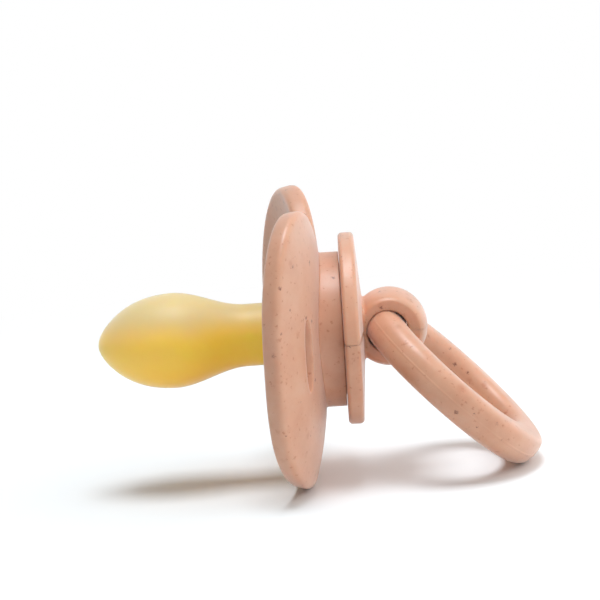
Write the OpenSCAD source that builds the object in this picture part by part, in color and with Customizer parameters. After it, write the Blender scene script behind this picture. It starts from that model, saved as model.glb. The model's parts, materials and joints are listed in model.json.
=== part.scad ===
// Baby's soother with a cherry-shaped teat, a butterfly shield, a two-part knob and a swinging ring.
// Sizes are in millimetres. The soother stands on its shield and on the end of its ring, on z = 0.

/* [Teat] */
// Reach of the teat in front of the shield
teat_reach = 29.4; // [24:0.1:32]
// Greatest diameter of the bulb
bulb_d = 13.6; // [11:0.1:16]
// Length of the bulb from its tip to its widest place
bulb_nose = 10.7; // [8:0.1:13]
// Length over which the bulb narrows to the neck
bulb_taper = 10.6; // [8:0.1:13]
// Diameter of the neck
neck_d = 8.9; // [7:0.1:10]
// Thickness of the rubber
teat_wall = 1.3; // [0.8:0.1:2]
// Thickness of the flange that is clamped in the hub
flange_t = 1.3; // [0.8:0.1:2]

/* [Shield] */
// Width of the outline across the wings
shield_w = 44.6; // [41:0.1:50]
// Height of the outline's upper half, before the nose notch is taken out of it
shield_top = 24; // [21:0.1:27]
// Height of the outline's lower half
shield_bottom = 21.4; // [19:0.1:25]
// Squareness of the outline's upper half, where 2 is an ellipse
brow_square = 2.5; // [2:0.1:3]
// Squareness of the outline's lower half
jaw_square = 3; // [2:0.1:3.5]
// Height of the nose notch's floor above the teat's axis
notch_floor = 13; // [12.8:0.1:18]
// Half angle over which the nose notch opens
notch_spread = 26; // [16:1:32]
// Thickness of the shield
shield_t = 3.1; // [2.2:0.1:4]
// Squareness of the rim's section, where 2 is round
rim_square = 3.5; // [2:0.1:5]
// How far the wings are swept towards the face
wing_drop = 5.5; // [2:0.05:7]
// How far the lower edge is swept towards the face
chin_drop = 2.2; // [0.5:0.1:4]
// How far the outline's top is swept towards the face
brow_drop = 2.1; // [0.5:0.1:4]
// How late the dish bends towards its edge, where 2 bends it evenly
dish_power = 2.7; // [2:0.1:3.2]
// Width of each air slot
vent_w = 2.1; // [1.6:0.1:4]
// Height of each air slot
vent_h = 10.2; // [8:0.1:14]
// Distance of each air slot from the middle
vent_y = 15.5; // [13.8:0.1:16.5]
// Height of the air slots' middle above the teat's axis
vent_z = -0.7; // [-4:0.1:4]

/* [Hub] */
// Outer diameter of the collar on the back of the shield
collar_d = 22.1; // [20:0.1:23]
// Wall of the collar
collar_wall = 1.6; // [1.2:0.1:2.2]
// Thickness of the web that the teat's flange seats on
web_t = 1.7; // [1.2:0.1:2.2]
// Thickness of the plug's disc
plug_t = 1.1; // [0.8:0.1:2]
// Length of the plug's nose inside the teat's neck
plug_nose = 4; // [2:0.1:7]
// Diameter of the air hole through the plug
plug_vent_d = 1.2; // [0.8:0.1:2]

/* [Knob] */
// Diameter of the plate
plate_d = 27.4; // [25:0.1:31]
// Thickness of the plate at its rim
plate_t = 2.25; // [1.5:0.05:3]
// Fillet of the plate's rim
plate_fillet = 0.6; // [0.3:0.05:0.7]
// Rise of the plate's back from its rim to the ear
plate_crown = 0.65; // [0.3:0.05:1.5]
// Depth of the spigot in the collar
spigot_l = 1.35; // [1.2:0.05:3]
// Height of the snap bead on the spigot
bead_h = 0.25; // [0.15:0.05:0.4]
// Width of the ear along the hinge
ear_w = 9; // [7:0.1:10]
// Diameter of the ear at its middle
ear_d = 10.9; // [10:0.1:13]
// How much lower the ear is at its faces than at its middle
ear_round = 1.2; // [0.4:0.1:1.4]
// How far the bore lies off the ear's middle, towards the plate
ear_shift = 0.3; // [0:0.05:0.6]
// Height of the hinge above the plate's crown
hinge_rise = 3.4; // [3.2:0.05:4]
// Diameter of the pins that locate the two halves
pin_d = 1.6; // [1:0.1:2]
// Length of those pins
pin_l = 2.6; // [1.5:0.1:4]
// Distance of those pins from the middle
pin_y = 7; // [5.5:0.1:7.6]

/* [Ring] */
// Mean diameter of the ring
ring_d = 26.3; // [23:0.1:32]
// Thickness of the ring's bar
bar_t = 5.3; // [4.6:0.1:6.4]
// Rounding of the bar's corners
bar_corner = 2.3; // [1.5:0.1:2.6]
// Angle of the ring below the teat's axis as it lies
ring_drop = 44.9; // [40:0.1:50]

/* [Fits] */
// Clearance of the ring's bar in the ear
hinge_gap = 0.08; // [0.05:0.01:0.2]
// Clearance of pieces that are pushed together
fit_gap = 0.05; // [0.03:0.01:0.1]
// Gap between the collar and the plate
plate_gap = 0.15; // [0.1:0.05:0.5]

/* [Hidden] */
$fn = 64;
peach = "#e3b39c";
amber = "#dfb24a";
cut = 1;

// Angle over which the outline's direction is taken
probe = 0.5;
// Steps round the shield's outline, across each of its faces and round its rim
outline_steps = 84;
face_steps = 5;
rim_steps = 8;
// Steps along each curved stretch of the teat and of the ear
curve_steps = 12;
// Steps round each air slot
vent_steps = 48;

// Places along the teat's axis, from the middle of the shield's web towards the ring
rim_r = shield_t / 2;
face_x = -rim_r;
seat_x = face_x + web_t;
flange_back_x = seat_x + flange_t;
plug_back_x = flange_back_x + plug_t;
spigot_x = plug_back_x + fit_gap;
collar_end_x = spigot_x + spigot_l;
plate_x = collar_end_x + plate_gap;
plate_back_x = plate_x + plate_t;
crown_x = plate_back_x + plate_crown;

// Radii of the hub's pieces
collar_r = collar_d / 2;
bore_r = collar_r - collar_wall;
neck_r = neck_d / 2;
neck_bore_r = neck_r - teat_wall;
web_hole_r = neck_r + fit_gap;
flange_r = bore_r - 2 * fit_gap;
plug_r = bore_r - fit_gap;
spigot_r = bore_r - fit_gap;
plate_r = plate_d / 2;

// The teat's tip and the widest place of its bulb
tip_x = face_x - teat_reach;
bulb_x = tip_x + bulb_nose;
bulb_r = bulb_d / 2;

// Middle of the snap bead on the spigot, and half of its width
bead_x = spigot_x + spigot_l / 2;
bead_w = 2 * bead_h;

// The ring sits in the ear so that its bar is in the middle of the ear's mouths
ring_r = ring_d / 2;
bar_h = bar_t / 2;
bar_core = bar_h - bar_corner;
ear_half = ear_w / 2;
ear_r = ear_d / 2;
ear_face_r = ear_r - ear_round;
hinge_x = crown_x + hinge_rise;
function at_mouth(r) = sqrt(pow(r, 2) - pow(ear_half, 2));
ring_reach = (at_mouth(ring_r - bar_h) + at_mouth(ring_r + bar_h)) / 2;

// The bore is tight at its mouths and has a belly that the ring's bend turns in
corner_angles = [for (a = [0 : 5 : 90]) a];
function mouth_distance(a) =
    let (out = bar_core + bar_corner * cos(a), up = bar_core + bar_corner * sin(a))
    max(norm([ring_reach - at_mouth(ring_r - out), up]), norm([at_mouth(ring_r + out) - ring_reach, up]));
mouth_r = max([for (a = corner_angles) mouth_distance(a)]) + hinge_gap;
belly_r = norm([ring_r + bar_core - ring_reach, bar_core]) + bar_corner + hinge_gap;

// Radius where the shield's grid starts, inside the hole for the teat's neck
hub_r = neck_r - teat_wall;

// Bend of the dish in one direction, and its slope, at a distance from the middle
function bend(v, reach, drop) = drop * pow(abs(v) / reach, dish_power);
function bend_slope(v, reach, drop) =
    sign(v) * drop * dish_power / reach * pow(abs(v) / reach, dish_power - 1);

// Reach and drop of the dish towards its top or its chin
wing_reach = shield_w / 2 - rim_r;
function upright_reach(z) = (z < 0 ? shield_bottom : shield_top) - rim_r;
function upright_drop(z) = z < 0 ? chin_drop : brow_drop;

// Middle surface of the shield, as a place along the axis for a point of its outline
function dish_x(y, z) =
    -bend(y, wing_reach, wing_drop) - bend(z, upright_reach(z), upright_drop(z));
function dish_slope(y, z) =
    [-bend_slope(y, wing_reach, wing_drop), -bend_slope(z, upright_reach(z), upright_drop(z))];
function dish_point(p) = [dish_x(p[0], p[1]), p[0], p[1]];
function dish_normal(p) =
    let (slope = dish_slope(p[0], p[1])) unit([1, -slope[0], -slope[1]]);

// Outline of the shield at an angle from straight up: a rounded square with a notch for the nose
function outline_r(a) =
    let (square = cos(a) > 0 ? brow_square : jaw_square, height = cos(a) > 0 ? shield_top : shield_bottom)
    pow(pow(abs(sin(a)) / (shield_w / 2), square) + pow(abs(cos(a)) / height, square), -1 / square)
    - (shield_top - notch_floor) * exp(-pow(a / notch_spread, 2));
function outline(a) = outline_r(a) * [sin(a), cos(a)];
function unit(v) = v / norm(v);
function outline_step(a) = outline(a + probe) - outline(a - probe);
function outline_normal(a) = unit([-outline_step(a)[1], outline_step(a)[0]]);
function rim_core(a) = outline(a) - rim_r * outline_normal(a);

// A point of the shield's face, on the back (side = 1) or the front (side = -1)
function face_point(a, s, side) =
    let (p = (1 - s) * hub_r * [sin(a), cos(a)] + s * rim_core(a))
    dish_point(p) + side * rim_r * dish_normal(p);

// A point of the shield's rim, at b from 90 on the back to -90 on the front, on a rounded square
function squared(v) = sign(v) * pow(abs(v), 2 / rim_square);
function rim_point(a, b) =
    let (c = rim_core(a), n = outline_normal(a), outwards = unit([dish_slope(c[0], c[1]) * n, n[0], n[1]]))
    dish_point(c) + rim_r * (squared(cos(b)) * outwards + squared(sin(b)) * dish_normal(c));

// One line of points over the shield, from the hub on its back round the rim to the hub on its front
function shield_line(a) = concat(
    [for (i = [0 : face_steps - 1]) face_point(a, i / face_steps, 1)],
    [for (i = [0 : rim_steps]) rim_point(a, 90 - 180 * i / rim_steps)],
    [for (i = [face_steps - 1 : -1 : 0]) face_point(a, i / face_steps, -1)]);

// Triangles of a closed grid of points, where both of its directions run round
function grid_triangles(rows, cols) = [
    for (i = [0 : rows - 1], j = [0 : cols - 1])
        let (a = i * cols + j, b = i * cols + (j + 1) % cols,
             c = (i + 1) % rows * cols + (j + 1) % cols, d = (i + 1) % rows * cols + j)
        each [[a, b, c], [a, c, d]]];

// Outline of the teat as radius and place: a half ellipse, then a smooth taper to the neck
function bulb_outline(wall) = concat(
    [for (i = [0 : curve_steps]) let (a = 90 * i / curve_steps)
        [(bulb_r - wall) * sin(a), bulb_x - (bulb_nose - wall) * cos(a)]],
    [for (i = [1 : curve_steps]) let (s = i / curve_steps)
        [neck_r - wall + (bulb_r - neck_r) * (1 + cos(180 * s)) / 2, bulb_x + bulb_taper * s]]);

// The floor touches the lowest place of the rim and the lowest corner of the ring's end
chin_z = -(shield_bottom - rim_r);
chin_x = dish_x(0, chin_z);
ring_along = [cos(ring_drop), -sin(ring_drop)];
ring_up = [sin(ring_drop), cos(ring_drop)];
ring_end = [hinge_x, 0] + (ring_reach + ring_r + bar_core) * ring_along;
heel = ring_end - bar_core * ring_up;
toe = ring_end + bar_core * ring_up;
floor_run = heel - [chin_x, chin_z];
chin_lean = atan(bend_slope(chin_z, upright_reach(chin_z), upright_drop(chin_z)));
rim_dual = rim_square / (rim_square - 1);
function chin_reach(tilt) =
    rim_r * pow(pow(abs(cos(chin_lean - tilt)), rim_dual) + pow(abs(sin(chin_lean - tilt)), rim_dual), 1 / rim_dual);
function settled(tilt, rounds) = rounds == 0 ? tilt : settled(
    atan2(floor_run[1], floor_run[0]) - asin((bar_corner - chin_reach(tilt)) / norm(floor_run)), rounds - 1);
rest_tilt = settled(0, 5);
function tilted(p) = [
    p[0] * cos(rest_tilt) + p[1] * sin(rest_tilt),
    p[1] * cos(rest_tilt) - p[0] * sin(rest_tilt)];
floor_z = tilted([chin_x, chin_z])[1] - chin_reach(rest_tilt);
front_x = tilted([bulb_x, 0])[0] - norm([bulb_nose * cos(rest_tilt), bulb_r * sin(rest_tilt)]);
back_x = tilted(toe)[0] + bar_corner;

// From the teat's axis to the part as it stands, with its origin under the middle of its length
module standing() {
    translate([-(front_x + back_x) / 2, 0, -floor_z]) rotate([0, rest_tilt, 0]) children();
}

// Round shapes are drawn as radius and place, and turned about the teat's axis
module turned() {
    rotate([0, 90, 0]) rotate_extrude() children();
}

// A round bar along the teat's axis
module bar_x(r, from, to) {
    translate([from, 0, 0]) rotate([0, 90, 0]) cylinder(r = r, h = to - from);
}

// Cherry-shaped teat of dipped rubber, hollow, with the flange that holds it in the hub
module teat() {
    outer = bulb_outline(0);
    inner = bulb_outline(teat_wall);
    color(amber, 0.85) standing() turned() polygon(concat(
        outer,
        [[neck_r, seat_x], [flange_r, seat_x], [flange_r, flange_back_x], [neck_bore_r, flange_back_x]],
        [for (i = [len(inner) - 1 : -1 : 0]) inner[i]]));
}

// Butterfly dish of the shield as one closed grid of points
module shield_dish() {
    lines = [for (i = [0 : outline_steps - 1]) shield_line(-180 + 360 * i / outline_steps)];
    polyhedron([for (l = lines) each l], grid_triangles(outline_steps, len(lines[0])));
}

// Upright oval air slot, right through a wing
module vent(side) {
    depth = 3 * shield_t;
    translate([dish_x(vent_y, vent_z) - depth / 2, side * vent_y, vent_z]) rotate([90, 0, 90])
        linear_extrude(depth) polygon([for (i = [0 : vent_steps - 1]) let (a = 360 * i / vent_steps)
            [vent_w / 2 * cos(a), vent_h / 2 * sin(a)]]);
}

// Profile of the snap bead, or of its groove when it is grown by a gap
module bead_profile(gap) {
    polygon([
        [spigot_r - bead_h, bead_x - bead_w - gap], [spigot_r, bead_x - bead_w - gap],
        [spigot_r + bead_h + gap, bead_x - bead_h / 2 - gap], [spigot_r + bead_h + gap, bead_x + bead_h / 2 + gap],
        [spigot_r, bead_x + bead_w + gap], [spigot_r - bead_h, bead_x + bead_w + gap]]);
}

// Shield with its collar, bored for the teat's flange, the plug and the knob's spigot
module shield() {
    collar_root_x = dish_x(collar_r, 0) + rim_r - collar_wall / 3;
    color(peach) standing() difference() {
        union() {
            shield_dish();
            bar_x(collar_r, collar_root_x, collar_end_x);
        }
        bar_x(web_hole_r, face_x - shield_t - cut, collar_end_x + cut);
        bar_x(bore_r, seat_x, collar_end_x + cut);
        turned() bead_profile(fit_gap);
        for (side = [-1, 1]) vent(side);
    }
}

// Plug that is pressed into the collar: its disc clamps the flange, and its nose fills the neck
module teat_plug() {
    nose_r = neck_bore_r - fit_gap;
    nose_x = flange_back_x - plug_nose;
    color("#f0dccb") standing() turned() polygon([
        [plug_vent_d / 2, nose_x], [nose_r - teat_wall / 2, nose_x], [nose_r, nose_x + teat_wall],
        [nose_r, flange_back_x], [plug_r, flange_back_x], [plug_r, plug_back_x], [plug_vent_d / 2, plug_back_x]]);
}

// Half profile of the plate, with a round rim and a back that rises to the ear
module plate_profile() {
    rim = plate_r - plate_fillet;
    translate([0, plate_x]) square([rim, plate_t]);
    translate([0, plate_x + plate_fillet]) square([plate_r, plate_t - 2 * plate_fillet]);
    for (x = [plate_x + plate_fillet, plate_back_x - plate_fillet]) translate([rim, x]) circle(plate_fillet);
    polygon([[0, plate_x], [rim, plate_x], [rim, plate_back_x], [ear_face_r, crown_x], [0, crown_x]]);
}

// Ear that the ring hangs in, round like a bead, before it is bored
module ear_blank() {
    translate([hinge_x + ear_shift, 0, 0]) rotate([90, 0, 0]) rotate_extrude() polygon(concat(
        [[0, -ear_half]],
        [for (i = [-curve_steps : curve_steps]) let (a = 90 * i / curve_steps)
            [ear_face_r + ear_round * cos(a), ear_half * sin(a)]],
        [[0, ear_half]]));
}

// Bore of the ear, from mouth to mouth
module ear_bore() {
    translate([hinge_x, 0, 0]) rotate([90, 0, 0]) rotate_extrude() polygon(concat(
        [[0, -ear_half - cut], [mouth_r, -ear_half - cut]],
        [for (i = [-curve_steps : 2 : curve_steps]) let (s = i / curve_steps)
            [mouth_r + (belly_r - mouth_r) * (1 - pow(s, 2)), ear_half * s]],
        [[mouth_r, ear_half + cut], [0, ear_half + cut]]));
}

// Knob as one body, which its two halves are cut from
module knob_body() {
    difference() {
        union() {
            bar_x(spigot_r, spigot_x, plate_x + plate_t / 2);
            turned() bead_profile(0);
            turned() plate_profile();
            ear_blank();
        }
        ear_bore();
    }
}

// Everything on one side of the knob's parting plane
module half_space(side) {
    reach = plate_d + ear_w;
    translate([spigot_x - cut, -reach / 2, side > 0 ? 0 : -reach]) cube([reach, reach, reach]);
}

// Locating pins across the parting plane
module locating_pins(r, from, to) {
    pin_x = (spigot_x + plate_back_x) / 2;
    for (side = [-1, 1]) translate([pin_x, side * pin_y, from]) cylinder(r = r, h = to - from);
}

// Upper half of the knob, with the locating pins
module knob_upper_half() {
    color(peach) standing() union() {
        intersection() {
            knob_body();
            half_space(1);
        }
        locating_pins(pin_d / 2, -pin_l, pin_l);
    }
}

// Lower half of the knob, with the sockets for those pins
module knob_lower_half() {
    color(peach) standing() difference() {
        intersection() {
            knob_body();
            half_space(-1);
        }
        locating_pins(pin_d / 2 + fit_gap, -pin_l - pin_d / 4, cut);
    }
}

// Section of the ring's bar: a square with round corners
module bar_section() {
    square([bar_t, 2 * bar_core], center = true);
    square([2 * bar_core, bar_t], center = true);
    for (x = [-bar_core, bar_core], y = [-bar_core, bar_core]) translate([x, y]) circle(bar_corner);
}

// Closed ring, caught in the ear and lying with its end on the floor
module ring_handle() {
    color(peach) standing() translate([hinge_x, 0, 0]) rotate([0, ring_drop, 0])
        translate([ring_reach, 0, 0]) rotate_extrude() translate([ring_r, 0]) bar_section();
}

teat();
shield();
teat_plug();
knob_upper_half();
knob_lower_half();
ring_handle();
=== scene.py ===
# A baby's soother, standing on its shield and on the end of its ring.
# Shapes are worked out in millimetres on the teat's axis: x runs from the middle of the shield's web
# towards the ring, y runs across the wings and z runs up through the nose notch.
import json
import math

import bmesh
import bpy
import numpy as np
from mathutils import Matrix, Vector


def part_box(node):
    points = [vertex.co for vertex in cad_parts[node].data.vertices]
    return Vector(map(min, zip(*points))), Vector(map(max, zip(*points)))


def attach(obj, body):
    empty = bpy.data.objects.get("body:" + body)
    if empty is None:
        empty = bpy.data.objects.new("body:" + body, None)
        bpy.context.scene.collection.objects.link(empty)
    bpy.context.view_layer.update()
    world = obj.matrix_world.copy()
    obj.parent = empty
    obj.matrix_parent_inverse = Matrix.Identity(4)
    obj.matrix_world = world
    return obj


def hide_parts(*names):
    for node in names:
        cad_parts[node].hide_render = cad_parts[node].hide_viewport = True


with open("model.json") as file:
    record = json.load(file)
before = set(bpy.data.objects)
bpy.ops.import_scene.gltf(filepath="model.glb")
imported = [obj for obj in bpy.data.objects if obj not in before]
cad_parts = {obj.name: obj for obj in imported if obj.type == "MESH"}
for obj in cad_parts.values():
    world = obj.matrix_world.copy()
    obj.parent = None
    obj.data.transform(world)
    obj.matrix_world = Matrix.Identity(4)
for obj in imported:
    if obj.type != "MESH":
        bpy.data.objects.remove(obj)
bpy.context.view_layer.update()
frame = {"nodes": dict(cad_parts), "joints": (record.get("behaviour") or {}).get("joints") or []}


# Teat
# A hollow cherry of amber natural rubber with a round flange, dipped on a former and vulcanised.
# It is pushed through the shield from behind until the flange seats on the shield's web.
# Its hollow can't be seen, so it is closed behind the flange here.
mm_per_metre = 1000.0
hinge_x = 10.4
teat_tip_x = -30.95
teat_sag = 0.35
sag_power = 1.3
bulb_nose = 10.7
bulb_taper = 10.6
bulb_r = 6.8
nose_point = 0.25
nose_point_reach = math.radians(40)
neck_r = 4.45
flange_front_x = 0.15
flange_back_x = 1.45
flange_r = 9.35
flange_fillet = 0.4
teat_turns = 144
bulb_steps = 44
neck_steps = 12
fillet_steps = 6
merge_distance = 1.5e-6
sharp_edge = math.radians(38)

hinge_place = mm_per_metre * np.array(frame["joints"][0]["pos_m"])
teat_low, teat_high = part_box("teat")
flange_mid_x = (flange_front_x + flange_back_x) / 2
flange_height = mm_per_metre * (teat_low.z + teat_high.z) / 2 - hinge_place[2]
rest_tilt = math.asin(flange_height / (hinge_x - flange_mid_x))


def stand(points):
    """Points on the teat's axis, in mm, as they stand in the row, in metres: turned about the hinge by
    the tilt at which the soother rests, and moved to where the joint is."""
    x, y, z = np.moveaxis(points - np.array([hinge_x, 0, 0]), -1, 0)
    turned = np.stack([
        x * math.cos(rest_tilt) + z * math.sin(rest_tilt),
        y,
        z * math.cos(rest_tilt) - x * math.sin(rest_tilt)], -1)
    return (turned + hinge_place) / mm_per_metre


def net(points, close_rows=False, close_columns=False):
    """A grid of points and the corner numbers of its quads. Either direction may run round and close."""
    rows, columns = points.shape[:2]
    i = np.arange(rows if close_rows else rows - 1)[:, None]
    j = np.arange(columns if close_columns else columns - 1)[None, :]
    below, beside = (i + 1) % rows * columns, (j + 1) % columns
    corners = np.broadcast_arrays(i * columns + j, below + j, below + beside, i * columns + beside)
    return points.reshape(-1, 3), np.stack(corners, -1).reshape(-1, 4).tolist()


def moulded(name, patches):
    """One object from patches of points and faces: the points are stood in the row, those that lie
    together are merged, and the faces are turned outwards."""
    points = stand(np.concatenate([p for p, f in patches]))
    starts = np.cumsum([0] + [len(p) for p, f in patches])
    faces = [[int(s) + c for c in face] for (p, f), s in zip(patches, starts) for face in f]
    mesh = bpy.data.meshes.new(name)
    mesh.from_pydata(points.tolist(), [], faces)
    shape = bmesh.new()
    shape.from_mesh(mesh)
    bmesh.ops.remove_doubles(shape, verts=shape.verts, dist=merge_distance)
    bmesh.ops.recalc_face_normals(shape, faces=shape.faces)
    shape.to_mesh(mesh)
    shape.free()
    mesh.shade_smooth()
    mesh.set_sharp_from_angle(angle=sharp_edge)
    piece = bpy.data.objects.new(name, mesh)
    bpy.context.scene.collection.objects.link(piece)
    return piece


def about_axis(profile, turns):
    """A profile of place and radius turned about the teat's axis by each angle, from straight up."""
    x, r = profile[None, :, 0], profile[None, :, 1]
    a = turns[:, None]
    return np.stack([x + 0 * a, r * np.sin(a), r * np.cos(a)], -1)


def arc(middle, radius, start, end, steps):
    """Points of an arc in a plane, from one angle to another in degrees."""
    a = np.radians(np.linspace(start, end, steps))
    return np.stack([middle[0] + radius * np.cos(a), middle[1] + radius * np.sin(a)], -1)


def bulb_profile():
    """Place and radius along the bulb: half an ellipse from the tip to the widest place, drawn in round
    the tip by a bell so that it comes to a blunt point, then half a cosine wave down to the neck."""
    a = np.linspace(0, math.pi / 2, bulb_steps)
    s = np.linspace(0, 1, bulb_steps)[1:]
    widest_x = teat_tip_x + bulb_nose
    drawn_in = 1 - nose_point * np.exp(-(a / nose_point_reach) ** 2)
    nose = [widest_x - bulb_nose * np.cos(a), bulb_r * np.sin(a) * drawn_in]
    taper = [widest_x + bulb_taper * s, neck_r + (bulb_r - neck_r) * (1 + np.cos(math.pi * s)) / 2]
    return np.concatenate([np.stack(nose, -1), np.stack(taper, -1)])


neck_x = np.linspace(teat_tip_x + bulb_nose + bulb_taper, flange_front_x - flange_fillet, neck_steps)[1:]
flange_edge_r = flange_r - flange_fillet
teat_profile = np.concatenate([
    bulb_profile(),
    np.stack([neck_x, np.full_like(neck_x, neck_r)], -1),
    arc((flange_front_x - flange_fillet, neck_r + flange_fillet), flange_fillet, -90, 0, fillet_steps)[1:],
    arc((flange_front_x + flange_fillet, flange_edge_r), flange_fillet, 180, 90, fillet_steps),
    arc((flange_back_x - flange_fillet, flange_edge_r), flange_fillet, 90, 0, fillet_steps),
    [[flange_back_x, 0]]])
teat_points = about_axis(teat_profile, np.linspace(0, 2 * math.pi, teat_turns, endpoint=False))
share_of_reach = np.clip(teat_points[..., 0], teat_tip_x, 0) / teat_tip_x
teat_points[..., 2] -= teat_sag * share_of_reach ** sag_power
teat = moulded("rubber_teat", [net(teat_points, close_rows=True)])


def node_adder(tree):
    """A function that adds a node to a tree, with its settings, and links or sets its sockets."""

    def node(kind, sockets=None, **settings):
        made = tree.nodes.new("ShaderNode" + kind)
        for key, value in settings.items():
            setattr(made, key, value)
        for socket, source in (sockets or {}).items():
            target = made.inputs[socket]
            if isinstance(source, bpy.types.NodeSocket):
                tree.links.new(source, target)
            else:
                target.default_value = source
        return made

    return node


def new_finish(name):
    """A node material, its shader, a function that adds a node to it, and one that joins a node to it."""
    material = bpy.data.materials.new(name)
    material.use_nodes = True
    tree = material.node_tree
    shader = tree.nodes["Principled BSDF"]

    def join(source, socket):
        tree.links.new(source, shader.inputs[socket])

    return material, shader, node_adder(tree), join


def set_shader(shader, values):
    """Values that are the same all over a finish, set on the shader's own sockets."""
    for socket, value in values.items():
        shader.inputs[socket].default_value = value


def in_millimetres(node):
    """The piece's own coordinates, scaled from metres to millimetres, so that noise is per mm."""
    place = node("TexCoord").outputs["Object"]
    return node("VectorMath", {0: place, "Scale": mm_per_metre}, operation="SCALE").outputs["Vector"]


def noise(node, place, per_mm, detail, roughness=0.5):
    """Cloudy noise, as a value and as a colour."""
    sockets = {"Vector": place, "Scale": per_mm, "Detail": detail, "Roughness": roughness}
    return node("TexNoise", sockets).outputs


def reckoned(node, operation, first, second):
    """The sum, product, power or larger one of two values."""
    return node("Math", {0: first, 1: second}, operation=operation).outputs["Value"]


def ranged(node, value, source, target=(0.0, 1.0), curve="LINEAR"):
    """A value carried from one range to another, on a straight line or on a smooth step."""
    sockets = {"Value": value, "From Min": source[0], "From Max": source[1]}
    sockets.update({"To Min": target[0], "To Max": target[1]})
    return node("MapRange", sockets, interpolation_type=curve).outputs["Result"]


def ramp(node, value, stops):
    """A colour that follows a value through stops, each a place from 0 to 1 and its colour."""
    made = node("ValToRGB", {"Fac": value})
    for element, (position, colour) in zip(made.color_ramp.elements, (stops[0], stops[-1])):
        element.position = position
        element.color = colour
    for position, colour in stops[1:-1]:
        made.color_ramp.elements.new(position).color = colour
    return made.outputs["Color"]


def tinted(node, below, share, colour):
    """Colour laid over the colour below by a share from 0 to 1."""
    made = node("Mix", {"Factor": share, "A": below, "B": colour}, data_type="RGBA")
    return made.outputs["Result"]


# Dipped rubber is cloudy inside, so light spreads in it. It drifts in tone along the teat. The upper side is
# painted creamy, a painted highlight of the overhead light, and the lower side a deeper amber, painted
# shade. Its skin is smooth.
tip_amber = (0.985, 0.60, 0.11, 1)
mid_amber = (0.98, 0.66, 0.07, 1)
neck_amber = (1.0, 0.70, 0.075, 1)
painted_highlight_cream = (0.68, 0.54, 0.25, 1)
painted_shade_amber = (0.97, 0.52, 0.03, 1)
tone_x = (-31.0, -4.0)
tone_drift = 4.0
painted_shade_z = (21.5, 15.5)
painted_shade_strength = 0.9
painted_highlight_z = (22.0, 26.8)
painted_highlight_strength = 0.95
painted_highlight_drift = 1.6
rubber_roughness = (0.42, 0.50)
noise_span = (0.3, 0.7)
rubber, shader, node, join = new_finish("dipped_rubber")
place = in_millimetres(node)
where = node("SeparateXYZ", {"Vector": place}).outputs
cloud = noise(node, place, per_mm=0.12, detail=2.0)["Fac"]
drift = ranged(node, cloud, (0, 1), (-tone_drift, tone_drift))
along = ranged(node, reckoned(node, "ADD", where["X"], drift), tone_x)
tone = ramp(node, along, ((0.05, tip_amber), (0.5, mid_amber), (0.85, neck_amber)))
# Painted shade: the teat is made a deeper amber lower down, where less light falls.
painted_shade_share = ranged(node, where["Z"], painted_shade_z, (0, painted_shade_strength), "SMOOTHSTEP")
tone = tinted(node, tone, painted_shade_share, painted_shade_amber)
# Painted highlight: the teat is made creamy higher up, where the overhead light reflects, and the edge
# drifts with the cloud.
painted_highlight_edge = ranged(node, cloud, (0, 1), (-painted_highlight_drift, painted_highlight_drift))
painted_highlight_share = ranged(node, reckoned(node, "ADD", where["Z"], painted_highlight_edge), painted_highlight_z, (0, painted_highlight_strength), "SMOOTHSTEP")
tone = tinted(node, tone, painted_highlight_share, painted_highlight_cream)
join(tone, "Base Color")
haze = noise(node, place, per_mm=0.5, detail=2.0)["Fac"]
join(ranged(node, haze, noise_span, rubber_roughness), "Roughness")
skin = node("Bump", {"Height": haze, "Strength": 0.05, "Distance": 0.0002})
join(skin.outputs["Normal"], "Normal")
set_shader(shader, {
    "Subsurface Weight": 1.0,
    "Subsurface Radius": (1.0, 0.75, 0.35),
    "Subsurface Scale": 0.009,
    "IOR": 1.52,
    "Specular IOR Level": 0.45,
    "Sheen Weight": 0.6,
    "Sheen Roughness": 0.45})
teat.data.materials.append(rubber)
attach(teat, "soother")
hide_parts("teat")


# Shield
# A butterfly dish with a nose notch, two oval air slots and a round collar on its back, moulded in one shot
# from peach plastic filled with plant fibre. The collar is bored for the flange, the plug and the knob.
shield_w = 44.6
shield_top = 24.0
shield_bottom = 21.4
brow_square = 2.5
jaw_square = 3.0
notch_floor = 13.0
notch_spread = math.radians(26)
shield_t = 3.1
rim_square = 3.5
wing_drop = 5.5
chin_drop = 2.2
brow_drop = 2.1
dish_power = 2.7
slot_w = 2.1
slot_h = 10.2
slot_y = 15.5
slot_z = -0.7
slot_lip = 0.25
collar_r = 11.05
collar_bore_r = 9.45
collar_end_x = 4.02
collar_root = 0.22
collar_edge = 0.12
web_hole_r = 4.5
web_lip = 0.35
web_back_x = 0.15
back_rows = 30
front_rows = 46
rim_steps = 25
round_steps = 7
lip_steps = 6
settling_rounds = 12
relaxing_rounds = 240
rim_r = shield_t / 2
around = np.radians(np.arange(360.0) - 180)


def unit(v):
    """Vectors of length one."""
    return v / np.linalg.norm(v, axis=-1, keepdims=True)


def dish(p):
    """Middle surface of the dish over y and z, and its normal: it drops towards the face by a power of the
    distance from the middle, by its own amount towards the wings, the chin and the brow."""
    y, z = p[..., 0], p[..., 1]
    wing_reach = shield_w / 2 - rim_r
    upright_reach = np.where(z < 0, shield_bottom, shield_top) - rim_r
    upright_drop = np.where(z < 0, chin_drop, brow_drop)
    across, upright = np.abs(y) / wing_reach, np.abs(z) / upright_reach
    x = -wing_drop * across ** dish_power - upright_drop * upright ** dish_power
    slope_y = -np.sign(y) * wing_drop * dish_power / wing_reach * across ** (dish_power - 1)
    slope_z = -np.sign(z) * upright_drop * dish_power / upright_reach * upright ** (dish_power - 1)
    return np.stack([x, y, z], -1), unit(np.stack([np.ones_like(x), -slope_y, -slope_z], -1))


def face(p, side):
    """Points of the shield's back (side 1) or front (side -1), half of its thickness off the middle."""
    middle, normal = dish(p)
    return middle + side * rim_r * normal


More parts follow.
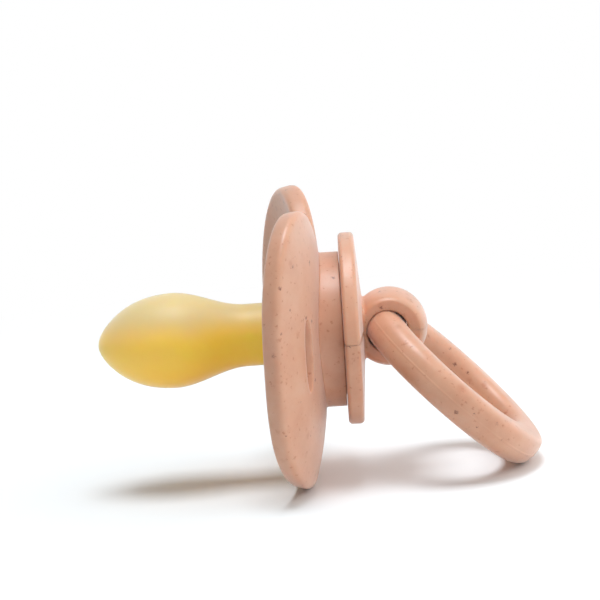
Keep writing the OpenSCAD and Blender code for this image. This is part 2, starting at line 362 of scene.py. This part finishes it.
def under(place, side):
    """Where the middle surface lies under a y and z of the face: the offset along the normal is taken off
    again and again until it settles."""
    p = np.array(place, float)
    for settling in range(settling_rounds):
        p = place - side * rim_r * dish(p)[1][..., 1:]
    return p


def outline(a):
    """Outline at an angle from straight up: a rounded square, squarer at the jaw, less a bell-shaped
    notch."""
    square = np.where(np.cos(a) > 0, brow_square, jaw_square)
    height = np.where(np.cos(a) > 0, shield_top, shield_bottom)
    wide, high = np.abs(np.sin(a)) / (shield_w / 2), np.abs(np.cos(a)) / height
    r = (wide ** square + high ** square) ** (-1 / square)
    r = r - (shield_top - notch_floor) * np.exp(-(a / notch_spread) ** 2)
    return r[..., None] * np.stack([np.sin(a), np.cos(a)], -1)


def outline_normal(a, probe=math.radians(0.5)):
    """Direction out of the outline, square to the step between two points close by."""
    step = outline(a + probe) - outline(a - probe)
    return unit(np.stack([-step[..., 1], step[..., 0]], -1))


rim_core = outline(around) - rim_r * outline_normal(around)


def slot_edge(t, wing, grow):
    """Edge of an air slot, an ellipse grown outwards by a lip, at the angles t from its upper end."""
    oval = np.stack([slot_w / 2 * np.sin(t), slot_h / 2 * np.cos(t)], -1)
    outwards = unit(np.stack([np.sin(t) * slot_h, np.cos(t) * slot_w], -1))
    return np.array([wing * slot_y, slot_z]) + oval + grow * outwards


def face_with_slots(start_r, rows, side):
    """Grid of one face from a circle to the rim, opened at the two slots. A block of cells round each
    slot's middle is left out, its border is moved onto the slot's edge, and the move fades out over the
    grid until every free point moves as the mean of its four neighbours. Returns the points, the quads and
    the slots' loops."""
    circle = under(start_r * np.stack([np.sin(around), np.cos(around)], -1), side)
    share = np.linspace(0, 1, rows)[None, :, None]
    p = (1 - share) * circle[:, None] + share * rim_core[:, None]
    fixed = np.zeros(p.shape[:2], bool)
    fixed[:, [0, -1]] = True
    move = np.zeros_like(p)
    kept = np.ones((len(around), rows - 1), bool)
    tall, wide, end_turn = 19, 3, math.radians(20)
    loops = []
    for wing in (-1, 1):
        middle = under(np.array([wing * slot_y, slot_z]), side)
        i0, j0 = np.unravel_index(np.argmin(((p - middle) ** 2).sum(-1)), fixed.shape)
        along, across = np.arange(-tall, tall + 1), np.arange(-wide, wide + 1)
        sides = np.arccos(math.cos(end_turn) * along[::-1] / tall)
        ends = end_turn * across / wide
        i = np.concatenate([0 * across[:-1] + tall, along[:0:-1], 0 * across[:-1] - tall, along[:-1]])
        j = np.concatenate([across[:-1], 0 * along[1:] + wide, across[:0:-1], 0 * along[1:] - wide])
        t = wing * np.concatenate([ends[:-1], sides[:-1], math.pi + ends[:-1], math.pi + sides[:-1]])
        i, j = (i0 - wing * i) % len(around), j0 + j
        move[i, j] = under(slot_edge(t, wing, slot_lip), side) - p[i, j]
        fixed[i, j] = True
        inside_i = (i0 + np.arange(-tall, tall)) % len(around)
        inside_j = j0 + np.arange(-wide, wide)
        kept[np.ix_(inside_i, inside_j)] = False
        loops.append((i, j, t))
    free = ~fixed[..., None]
    for relaxing in range(relaxing_rounds):
        neighbours = np.roll(move, 1, 0) + np.roll(move, -1, 0) + np.roll(move, 1, 1) + np.roll(move, -1, 1)
        move = np.where(free, neighbours / 4, move)
    points, quads = net(face(p + move, side), close_rows=True)
    quads = np.array(quads)[kept.reshape(-1)].tolist()
    return points.reshape(p.shape[:2] + (3,)), quads, loops


def slot_wall(back, front, t, wing):
    """Wall of an air slot from its edge on the back to its edge on the front: a quarter round lip at each
    end and a straight wall along the axis between them."""
    turn = np.radians(np.linspace(0, 90, lip_steps))[:, None]
    straight = slot_edge(t, wing, 0)[None]
    lipped = slot_edge(t, wing, slot_lip)[None]
    share = np.sin(turn)[..., None]
    inwards = lipped * (1 - share) + straight * share
    depth = slot_lip * (1 - np.cos(turn))
    back_lip = np.concatenate([(back[None, :, 0] - depth)[..., None], inwards], -1)
    front_lip = np.concatenate([(front[None, :, 0] + depth)[..., None], inwards], -1)
    return np.concatenate([back_lip, front_lip[::-1]])


back_face, back_quads, back_loops = face_with_slots(collar_r + collar_root, back_rows, 1)
front_face, front_quads, front_loops = face_with_slots(web_hole_r + web_lip, front_rows, -1)

# The rim is a rounded square bead round the core, in the plane of the dish's normal and the way outwards.
core, core_normal = dish(rim_core)
core_step = outline_normal(around)
core_rise = -(core_normal[:, 1:] * core_step).sum(-1) / core_normal[:, 0]
core_outwards = unit(np.concatenate([core_rise[:, None], core_step], -1))
rim_turn = np.radians(np.linspace(90, -90, rim_steps))[None, :, None]
rim_out = np.abs(np.cos(rim_turn)) ** (2 / rim_square)
rim_back = np.sign(np.sin(rim_turn)) * np.abs(np.sin(rim_turn)) ** (2 / rim_square)
rim = core[:, None] + rim_r * (rim_out * core_outwards[:, None] + rim_back * core_normal[:, None])

# The collar runs from a quarter round root on the back, over its end and down its bore, to the web's hole
# and the quarter round lip on the front.
root_turn = np.radians(np.linspace(0, 90, round_steps))[None, :]
root_x = back_face[:, 0, 0][:, None] + collar_root * (1 - np.cos(root_turn))
root_r = collar_r + collar_root * (1 - np.sin(root_turn))
collar_profile = np.concatenate([
    arc((collar_end_x - collar_edge, collar_r - collar_edge), collar_edge, 90, 0, round_steps),
    [[collar_end_x, collar_bore_r], [web_back_x, collar_bore_r], [web_back_x, web_hole_r]]])
wall_x, wall_r = np.tile(collar_profile.T[:, None], (1, len(around), 1))
lip_turn = np.radians(np.linspace(90, 0, lip_steps))[None, :]
lip_x = front_face[:, 0, 0][:, None] + web_lip * (1 - np.cos(lip_turn))
lip_r = web_hole_r + web_lip * (1 - np.sin(lip_turn))
collar_x = np.concatenate([root_x, wall_x, lip_x], 1)
collar_radius = np.concatenate([root_r + 0 * root_x, wall_r, lip_r + 0 * lip_x], 1)
turn = around[:, None]
collar = np.stack([collar_x, collar_radius * np.sin(turn), collar_radius * np.cos(turn)], -1)

shield_patches = [
    (back_face.reshape(-1, 3), back_quads),
    (front_face.reshape(-1, 3), front_quads),
    net(rim, close_rows=True),
    net(collar, close_rows=True)]
for wing, back_loop, front_loop in zip((-1, 1), back_loops, front_loops):
    wall = slot_wall(back_face[back_loop[:2]], front_face[front_loop[:2]], back_loop[2], wing)
    shield_patches.append(net(wall, close_columns=True))
shield = moulded("butterfly_shield", shield_patches)


# Peach plastic filled with plant fibre: a cloudy satin body with sparse dark grains, soft brown grains under
# the skin, fine specks and a few short fibres, all with ragged edges.
plastic_peach = (0.61, 0.305, 0.184, 1)
plastic_warm = (0.575, 0.270, 0.156, 1)
plastic_pale = (0.635, 0.340, 0.216, 1)
grain_dark = (0.17, 0.028, 0.008, 1)
grain_brown = (0.40, 0.115, 0.035, 1)
grain_rarity = 4.0
ragged_reach = 1.0
plastic_roughness = (0.36, 0.46)
plastic, shader, node, join = new_finish("fibre_filled_plastic")
place = in_millimetres(node)
ragged = noise(node, place, per_mm=3.2, detail=4.0, roughness=0.7)["Color"]
shift = node("VectorMath", {0: ragged, 1: (0.5, 0.5, 0.5)}, operation="SUBTRACT").outputs["Vector"]
shift = node("VectorMath", {0: shift, "Scale": ragged_reach}, operation="SCALE").outputs["Vector"]
torn = node("VectorMath", {0: place, 1: shift}, operation="ADD").outputs["Vector"]


def grains(turn, per_mm, size, softness, stretch=(1, 1, 1)):
    """Mask of grains in the plastic: in each cell of a scattered net, a ball of its own random size, which
    stretch and turn make into a fibre."""
    laid = node("Mapping", {"Vector": torn, "Rotation": turn, "Scale": stretch}).outputs["Vector"]
    cell = node("TexVoronoi", {"Vector": laid, "Scale": per_mm}).outputs
    chance = node("SeparateColor", {"Color": cell["Color"]}).outputs["Red"]
    rare = reckoned(node, "POWER", chance, grain_rarity)
    reach = reckoned(node, "MULTIPLY", rare, size * per_mm)
    core_reach = reckoned(node, "MULTIPLY", reach, 1 - softness)
    return ranged(node, cell["Distance"], (reach, core_reach))


soft_grains = grains((0, 0, 0), per_mm=0.5, size=0.9, softness=0.85)
dark_grains = grains((0.4, 0.9, 0.2), per_mm=0.6, size=0.42, softness=0.6)
fine_grains = grains((1.1, 0.3, 0.7), per_mm=1.7, size=0.28, softness=0.7)
fibres = grains((0.3, 0.6, 1.0), per_mm=0.8, size=0.36, softness=0.7, stretch=(0.3, 1, 1))
cloud = noise(node, place, per_mm=0.22, detail=5.0, roughness=0.6)["Fac"]
tone = ramp(node, cloud, ((0.30, plastic_warm), (0.5, plastic_peach), (0.72, plastic_pale)))
for mask, colour, strength in ((soft_grains, grain_brown, 0.4), (fibres, grain_brown, 0.65),
                               (fine_grains, grain_brown, 0.7), (dark_grains, grain_dark, 0.8)):
    tone = tinted(node, tone, reckoned(node, "MULTIPLY", mask, strength), colour)
join(tone, "Base Color")
satin = noise(node, place, per_mm=1.6, detail=5.0, roughness=0.65)["Fac"]
join(ranged(node, satin, noise_span, plastic_roughness), "Roughness")
peel = node("Bump", {"Height": satin, "Strength": 0.12, "Distance": 0.0001}).outputs["Normal"]
pit = {"Height": dark_grains, "Strength": 0.2, "Distance": 0.00005, "Normal": peel}
join(node("Bump", pit, invert=True).outputs["Normal"], "Normal")
shader.subsurface_method = "BURLEY"
set_shader(shader, {
    "Subsurface Weight": 0.6,
    "Subsurface Radius": (1.0, 0.35, 0.2),
    "Subsurface Scale": 0.002,
    "IOR": 1.5,
    "Specular IOR Level": 0.7,
    "Sheen Weight": 0.4,
    "Sheen Roughness": 0.45})
shield.data.materials.append(plastic)
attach(shield, "soother")
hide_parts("shield")


# Plug
# A plain cream disc with a nose and an air hole, moulded in hard plastic and pressed into the collar, where
# it clamps the teat's flange. It keeps its own solid.
plug_cream = (0.80, 0.67, 0.54, 1)
plug_shade = (0.72, 0.58, 0.45, 1)
plug_plastic, shader, node, join = new_finish("plain_plug_plastic")
cloud = noise(node, in_millimetres(node), per_mm=0.6, detail=3.0)["Fac"]
join(ramp(node, cloud, ((0.0, plug_shade), (1.0, plug_cream))), "Base Color")
peel = node("Bump", {"Height": cloud, "Strength": 0.1, "Distance": 0.0001})
join(peel.outputs["Normal"], "Normal")
set_shader(shader, {"Roughness": 0.5})
plug = frame["nodes"]["teat_plug"]
plug.data.materials.clear()
plug.data.materials.append(plug_plastic)


# Knob
# Two mouldings of the same peach plastic, an upper and a lower half of plate, spigot and ear. They are
# closed round the ring, pinned together, and snapped into the collar. Their edges are soft at the seam.
spigot_x = 2.6
spigot_r = 9.4
spigot_edge = 0.3
spigot_corner = 0.02
plate_x = 4.1
plate_back_x = 6.35
crown_x = 7.0
plate_r = 13.7
plate_fillet = 0.6
fillet_end = 4
ear_shift = 0.3
ear_half = 4.5
ear_face_r = 4.25
ear_round = 1.2
ear_foot = 0.55
mouth_r = 3.002
belly_r = 3.614
mouth_lip = 0.2
well_x = 6.4
well_r = 3.4
well_lip = 0.5
edge_soft = 0.5
seam_soft = 0.16
ear_seam_soft = 0.03
edge_steps = 4
flat_steps = 8
plate_fillet_steps = 10
cone_steps = 40
barrel_steps = 41
belly_steps = 24
face_margin = 0.01
least_length = 1e-6


def profile_normals(profile, closed):
    """Normals of a profile, square to the step from the point before to the point after, on its right."""
    if closed:
        step = np.roll(profile, -1, 0) - np.roll(profile, 1, 0)
    else:
        step = np.gradient(profile, axis=0)
    return unit(np.stack([step[:, 1], -step[:, 0]], -1))


def quarter_round(height, soft):
    """How far a surface is set in at a height above an edge: a quarter circle that ends at the edge."""
    up = np.clip(1 - height / soft, 0, 1)
    return soft * (1 - np.sqrt(1 - up ** 2))


def plate_back(r):
    """Place of the plate's back at a radius: a well under the ear, then a cone out to the rim."""
    return np.interp(r, [well_r, well_r + well_lip, ear_face_r, plate_r - plate_fillet],
                     [well_x, crown_x, crown_x, plate_back_x])


def flat(x, start_r, end_r):
    """Points of a flat face at one place on the axis, from one radius to another."""
    return np.stack([np.full(flat_steps, x), np.linspace(start_r, end_r, flat_steps)], -1)


fillet_r = plate_r - plate_fillet
cone_r = np.linspace(fillet_r, 0, cone_steps)[1:]
plate_profile = np.concatenate([
    flat(spigot_x, 0, spigot_r - spigot_edge),
    arc((spigot_x + spigot_edge, spigot_r - spigot_edge), spigot_edge, 180, 90, edge_steps),
    [[plate_x - spigot_corner, spigot_r], [plate_x, spigot_r + spigot_corner]],
    flat(plate_x, spigot_r + spigot_edge, fillet_r),
    arc((plate_x + plate_fillet, fillet_r), plate_fillet, 180, 90, plate_fillet_steps)[1:],
    arc((plate_back_x - plate_fillet, fillet_r), plate_fillet, 90, fillet_end, plate_fillet_steps),
    np.stack([plate_back(cone_r), cone_r], -1)])
plate_normal = -profile_normals(plate_profile, False)
plate_normal[[0, -1]] = [[-1, 0], [1, 0]]

# The ear's profile, as radius from the hinge and place along it: over the barrel, down one face, in at the
# mouth, through the bellied bore, and out again. Its outside is shifted off the hinge, away from the plate.
ear_turn = np.radians(np.linspace(-90, 90, barrel_steps))
barrel = np.stack([ear_face_r + ear_round * np.cos(ear_turn), ear_half * np.sin(ear_turn)], -1)
face_r = np.linspace(ear_face_r, mouth_r + mouth_lip, flat_steps)[1:-1]
ear_face = np.stack([face_r, np.full_like(face_r, ear_half)], -1)
mouth = arc((mouth_r + mouth_lip, ear_half - mouth_lip), mouth_lip, 90, 180, lip_steps)
belly_y = np.linspace(ear_half - mouth_lip, mouth_lip - ear_half, belly_steps)[1:-1]
belly_rise = (belly_r - mouth_r) * (1 - (belly_y / (ear_half - mouth_lip)) ** 2)
belly = np.stack([mouth_r + belly_rise, belly_y], -1)
mirror = np.array([1, -1])
ear_profile = np.concatenate([
    barrel, ear_face, mouth, belly, mouth[::-1] * mirror, ear_face[::-1] * mirror])
ear_normal = profile_normals(ear_profile, True)
ear_outside = np.abs(ear_profile[:, 1]) > ear_half - face_margin
ear_outside[:len(barrel)] = True
ear_middle = np.interp(ear_profile[:, 0], [mouth_r + mouth_lip, ear_face_r], [0, ear_shift])
ear_middle[~ear_outside] = 0
ear_middle[:len(barrel)] = ear_shift

# The turns of a half are close together at the seam, where the edges are rounded.
seam_turns = np.radians([0, 0.08, 0.2, 0.35, 0.5, 0.66, 1.0, 1.6, 2.4])
wide_turns = np.radians(np.linspace(3.5, 176.5, 100))
half_turn = np.concatenate([seam_turns, wide_turns, (math.pi - seam_turns)[::-1]])


def seam_rows(columns):
    """Corner numbers of a half's first and last row of points, which lie at the seam."""
    first = list(range(columns))
    return first, [(len(half_turn) - 1) * columns + c for c in first]


def knob_half(name, up):
    """One half of the knob: half of the plate's profile turned about the teat's axis, and half of the
    ear's turned about the hinge. Both are set in at the seam, and the ear flares onto the plate in a
    quarter round."""
    a = half_turn[:, None]
    x, r = plate_profile[None, :, 0], plate_profile[None, :, 1]
    x = x - quarter_round(r * np.sin(a), edge_soft) * plate_normal[None, :, 0]
    r = np.maximum(r - quarter_round(r * np.sin(a), seam_soft) * plate_normal[None, :, 1], 0)
    plate = np.stack([x, r * np.cos(a), up * r * np.sin(a)], -1)
    plate_points, plate_quads = net(plate)
    first, last = seam_rows(plate.shape[1])
    plate_cap = first + last[::-1]

    rho, y = ear_profile[None, :, 0], ear_profile[None, :, 1]
    inset = quarter_round(rho * np.sin(a), ear_seam_soft)
    rho, y = rho - inset * ear_normal[None, :, 0], y - inset * ear_normal[None, :, 1]
    ear = np.stack([hinge_x + ear_middle[None] + rho * np.cos(a), y + 0 * a, rho * np.sin(a)], -1)
    sideways = np.stack([ear_normal[None, :, 1] + 0 * a, ear_normal[None, :, 0] * np.sin(a)], -1)
    sideways = sideways / np.maximum(np.linalg.norm(sideways, axis=-1, keepdims=True), least_length)
    height = ear[..., 0] - plate_back(np.linalg.norm(ear[..., 1:], axis=-1))
    flare = quarter_round(np.maximum(height, 0), ear_foot) * ear_outside[None, :]
    ear[..., 1:] += flare[..., None] * sideways
    ear[..., 2] *= up
    ear_points, ear_quads = net(ear, close_columns=True)
    ear_caps = list(seam_rows(ear.shape[1]))
    return moulded(name, [(plate_points, plate_quads + [plate_cap]), (ear_points, ear_quads + ear_caps)])


for name, node_name, up in (("upper_knob", "knob_upper_half", 1), ("lower_knob", "knob_lower_half", -1)):
    half = knob_half(name, up)
    half.data.materials.append(plastic)
    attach(half, "soother")
    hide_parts(node_name)


# Ring
# A closed ring of the same peach plastic with a softly squared bar, whose upper edges are crisper towards
# its end. It is moulded in two halves of a tool, which leave a fine parting line round it. It is caught in
# the ear.
ring_r = 13.15
bar_half = 2.65
bar_square = 2.363
end_square = 1.3
ring_reach = 12.3162
ring_drop = math.radians(44.9)
parting_rise = 0.05
parting_width = 0.10
ring_steps = 300
bar_steps = 168

ring_turn = np.linspace(0, 2 * math.pi, ring_steps, endpoint=False)[:, None]
bar_turn = np.linspace(0, 2 * math.pi, bar_steps, endpoint=False)
bar_cos, bar_sin = np.cos(bar_turn), np.sin(bar_turn)
square = bar_square + end_square * (1 + np.cos(ring_turn)) / 2 * (bar_sin > 0)
bar_reach = bar_half / (np.abs(bar_cos) ** square + np.abs(bar_sin) ** square) ** (1 / square)
bar_out, bar_up = bar_reach * bar_cos, bar_reach * bar_sin
bar_out = bar_out + np.sign(bar_cos) * parting_rise * np.exp(-(bar_up / parting_width) ** 2)
ring_along = np.array([math.cos(ring_drop), 0, -math.sin(ring_drop)])
ring_normal = np.array([math.sin(ring_drop), 0, math.cos(ring_drop)])
ring_across = np.array([0.0, 1.0, 0.0])
spoke = np.cos(ring_turn)[..., None] * ring_along + np.sin(ring_turn)[..., None] * ring_across
ring_middle = np.array([hinge_x, 0, 0]) + ring_reach * ring_along
ring_points = ring_middle + (ring_r + bar_out)[..., None] * spoke + bar_up[..., None] * ring_normal
ring = moulded("pull_ring", [net(ring_points, close_rows=True, close_columns=True)])
ring.data.materials.append(plastic)
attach(ring, "ring")
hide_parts("ring_handle")


# Table
# A white table under the soother. Near it the table is lit and takes the shadow, and further out it is
# plain white to the eye, so that no edge or falling light shows.
table_half = 3.0
table_tone = (0.885, 0.915, 0.925, 1)
lit_reach = 0.06
plain_reach = 0.16


def background_ray(node):
    """One for a ray that shows the background to the eye, straight, in gloss or through glass, and nought
    for a ray that lights a surface."""
    ray = node("LightPath").outputs
    straight_or_gloss = reckoned(node, "MAXIMUM", ray["Is Camera Ray"], ray["Is Glossy Ray"])
    return reckoned(node, "MAXIMUM", straight_or_gloss, ray["Is Transmission Ray"])


table_mesh = bpy.data.meshes.new("white_table")
table_corners = [(x * table_half, y * table_half, 0) for x, y in ((-1, -1), (1, -1), (1, 1), (-1, 1))]
table_mesh.from_pydata(table_corners, [], [(0, 1, 2, 3)])
table = bpy.data.objects.new("white_table", table_mesh)
bpy.context.scene.collection.objects.link(table)
table_white, shader, node, join = new_finish("white_table")
set_shader(shader, {"Base Color": table_tone, "Roughness": 0.9, "Specular IOR Level": 0.0})
distance = node("VectorMath", {0: node("TexCoord").outputs["Object"]}, operation="LENGTH").outputs["Value"]
far = ranged(node, distance, (lit_reach, plain_reach), curve="SMOOTHSTEP")
plain = reckoned(node, "MULTIPLY", background_ray(node), far)
white = node("Emission", {"Color": (1, 1, 1, 1), "Strength": 1.0}).outputs["Emission"]
mixed = node("MixShader", {0: plain, 1: shader.outputs["BSDF"], 2: white}).outputs["Shader"]
output = table_white.node_tree.nodes["Material Output"]
table_white.node_tree.links.new(mixed, output.inputs["Surface"])
table.data.materials.append(table_white)


# Light
# One softbox overhead, a little towards the viewer and slightly cool, in a room that is bright on the ring's
# side, pale behind the soother and dim on the teat's side. To the eye the room is plain white. Each side of
# the room has the way towards it, the cosine at which its glow starts, and its brightness.
softbox_place = (0, -0.06, 0.75)
softbox_size = (0.30, 0.34)
softbox_watts = 3.5
softbox_tint = (0.95, 1.0, 1.05)
room_sides = (
    ((0.7, 0, 0.7), 0.3, 0.7),
    ((0, 0.995, 0.1), 0.55, 0.8),
    ((0.95, -0.3, 0.1), 0.0, 1.05),
    ((-0.7, 0.7, 0.1), 0.2, 0.35))

world = bpy.data.worlds.new("bright_room")
bpy.context.scene.world = world
world.use_nodes = True
room = world.node_tree
node = node_adder(room)
direction = node("TexCoord").outputs["Generated"]
level = 0.0
for towards, start, brightness in room_sides:
    share = node("VectorMath", {0: direction, 1: towards}, operation="DOT_PRODUCT").outputs["Value"]
    glow = ranged(node, share, (start, 1.0), (0, brightness), "SMOOTHSTEP")
    level = reckoned(node, "ADD", level, glow)
shown = node("Mix", {"Factor": background_ray(node), "A": level, "B": 1.0}).outputs["Result"]
background = room.nodes["Background"]
background.inputs["Color"].default_value = (1, 1, 1, 1)
room.links.new(shown, background.inputs["Strength"])

softbox = bpy.data.lights.new("overhead_softbox", "AREA")
softbox.shape = "RECTANGLE"
softbox.size, softbox.size_y = softbox_size
softbox.energy = softbox_watts
softbox.color = softbox_tint
lamp = bpy.data.objects.new("overhead_softbox", softbox)
lamp.location = softbox_place
lamp.rotation_euler = (math.atan2(-softbox_place[1], softbox_place[2]), 0, 0)
bpy.context.scene.collection.objects.link(lamp)


# Camera
# A long lens from the side, a little above the soother, turned so that the teat's axis rises to the right.
# Its place follows from where the root of the collar lies in the square picture.
view_azimuth = math.radians(0.3)
view_elevation = math.radians(10.3)
view_roll = math.radians(3.65)
view_distance = 0.70
image_size = 600
pixels_per_metre = 7000
collar_root_pixel = (321.5, 329.8)
collar_root_x = 1.0

level_back = np.array([
    math.sin(view_azimuth) * math.cos(view_elevation),
    -math.cos(view_azimuth) * math.cos(view_elevation),
    math.sin(view_elevation)])
level_right = np.array([math.cos(view_azimuth), math.sin(view_azimuth), 0])
level_up = np.cross(level_back, level_right)
rolled_right = math.cos(view_roll) * level_right - math.sin(view_roll) * level_up
rolled_up = math.sin(view_roll) * level_right + math.cos(view_roll) * level_up
axis_start = stand(np.zeros(3))
right, up, back = (mm_per_metre * (stand(v) - axis_start) for v in (rolled_right, rolled_up, level_back))
beside = (collar_root_pixel[0] - image_size / 2) / pixels_per_metre
above = (image_size / 2 - collar_root_pixel[1]) / pixels_per_metre
collar_root_place = stand(np.array([collar_root_x, 0, 0]))
camera_place = collar_root_place + view_distance * back - beside * right - above * up
camera_columns = np.stack([right, up, back, camera_place], -1)
lens = bpy.data.cameras.new("side_view")
lens.sensor_width = 36.0
lens.lens = lens.sensor_width * pixels_per_metre * view_distance / image_size
camera = bpy.data.objects.new("side_view", lens)
camera.matrix_world = Matrix(np.vstack([camera_columns, [0, 0, 0, 1]]).tolist())
bpy.context.scene.collection.objects.link(camera)
bpy.context.scene.camera = camera
bpy.context.scene.view_settings.view_transform = "Standard"

bpy.context.view_layer.update()
